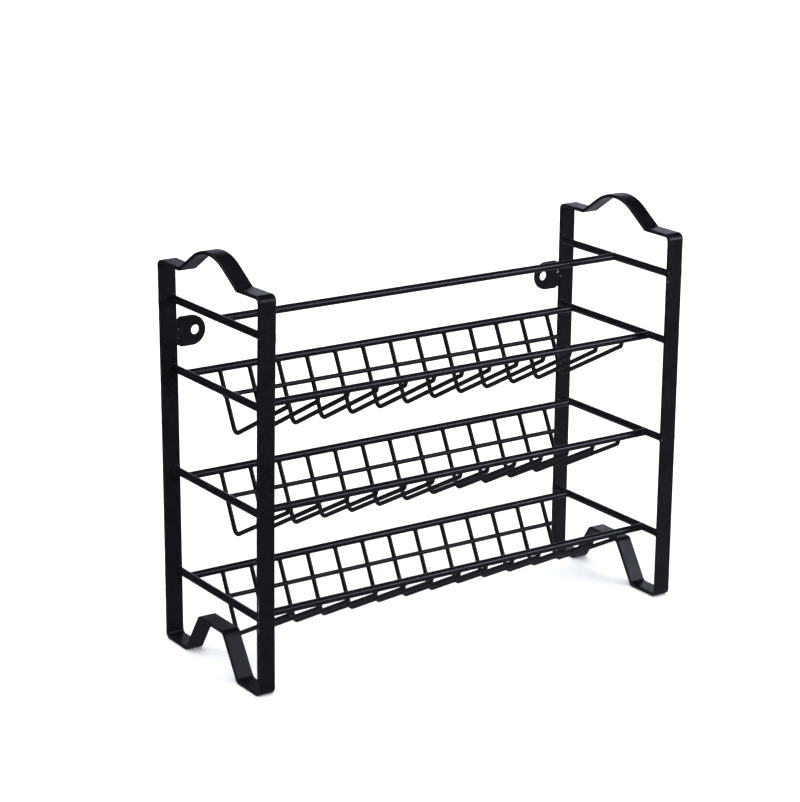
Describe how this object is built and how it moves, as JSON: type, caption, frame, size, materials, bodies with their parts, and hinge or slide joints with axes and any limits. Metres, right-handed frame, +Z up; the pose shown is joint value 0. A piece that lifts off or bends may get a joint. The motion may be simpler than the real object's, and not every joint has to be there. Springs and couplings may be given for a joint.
{
  "type": "spice rack",
  "caption": "Free-standing or wall-hung tiered spice rack of black strip side frames, round rails and bent wire troughs that hold tilted jars.",
  "frame": {"origin": "on the surface the rack stands on, under the middle of its footprint", "axes": "+X along the length towards the right side frame, -Y towards the front where the jars face out, +Y towards the wall, +Z up"},
  "size_m": [0.337, 0.1222, 0.2787],
  "materials": {
    "strip_coat": "satin black powder coat on flat steel strip, fine even grain, soft highlights on the bends",
    "bar_coat": "satin black powder coat on round steel bar, one narrow highlight along its length",
    "wire_coat": "slightly duller satin black powder coat on thin steel wire"
  },
  "bodies": {
    "root": {"bottom_back_rail": "bar_coat", "bottom_crossbar_left": "bar_coat", "bottom_crossbar_right": "bar_coat", "bottom_front_rail": "bar_coat", "bottom_tie_wire": "wire_coat", "bottom_trough_wire_01": "wire_coat", "bottom_trough_wire_02": "wire_coat", "bottom_trough_wire_03": "wire_coat", "bottom_trough_wire_04": "wire_coat", "bottom_trough_wire_05": "wire_coat", "bottom_trough_wire_06": "wire_coat", "bottom_trough_wire_07": "wire_coat", "bottom_trough_wire_08": "wire_coat", "bottom_trough_wire_09": "wire_coat", "bottom_trough_wire_10": "wire_coat", "bottom_trough_wire_11": "wire_coat", "bottom_trough_wire_12": "wire_coat", "bottom_trough_wire_13": "wire_coat", "handle_crossbar_left": "bar_coat", "handle_crossbar_right": "bar_coat", "handle_rail": "bar_coat", "middle_back_rail": "bar_coat", "middle_crossbar_left": "bar_coat", "middle_crossbar_right": "bar_coat", "middle_front_rail": "bar_coat", "middle_tie_wire": "wire_coat", "middle_trough_wire_01": "wire_coat", "middle_trough_wire_02": "wire_coat", "middle_trough_wire_03": "wire_coat", "middle_trough_wire_04": "wire_coat", "middle_trough_wire_05": "wire_coat", "middle_trough_wire_06": "wire_coat", "middle_trough_wire_07": "wire_coat", "middle_trough_wire_08": "wire_coat", "middle_trough_wire_09": "wire_coat", "middle_trough_wire_10": "wire_coat", "middle_trough_wire_11": "wire_coat", "middle_trough_wire_12": "wire_coat", "middle_trough_wire_13": "wire_coat", "side_frame_left": "strip_coat", "side_frame_right": "strip_coat", "top_back_rail": "bar_coat", "top_crossbar_left": "bar_coat", "top_crossbar_right": "bar_coat", "top_front_rail": "bar_coat", "top_tie_wire": "wire_coat", "top_trough_wire_01": "wire_coat", "top_trough_wire_02": "wire_coat", "top_trough_wire_03": "wire_coat", "top_trough_wire_04": "wire_coat", "top_trough_wire_05": "wire_coat", "top_trough_wire_06": "wire_coat", "top_trough_wire_07": "wire_coat", "top_trough_wire_08": "wire_coat", "top_trough_wire_09": "wire_coat", "top_trough_wire_10": "wire_coat", "top_trough_wire_11": "wire_coat", "top_trough_wire_12": "wire_coat", "top_trough_wire_13": "wire_coat"}
  },
  "joints": []
}
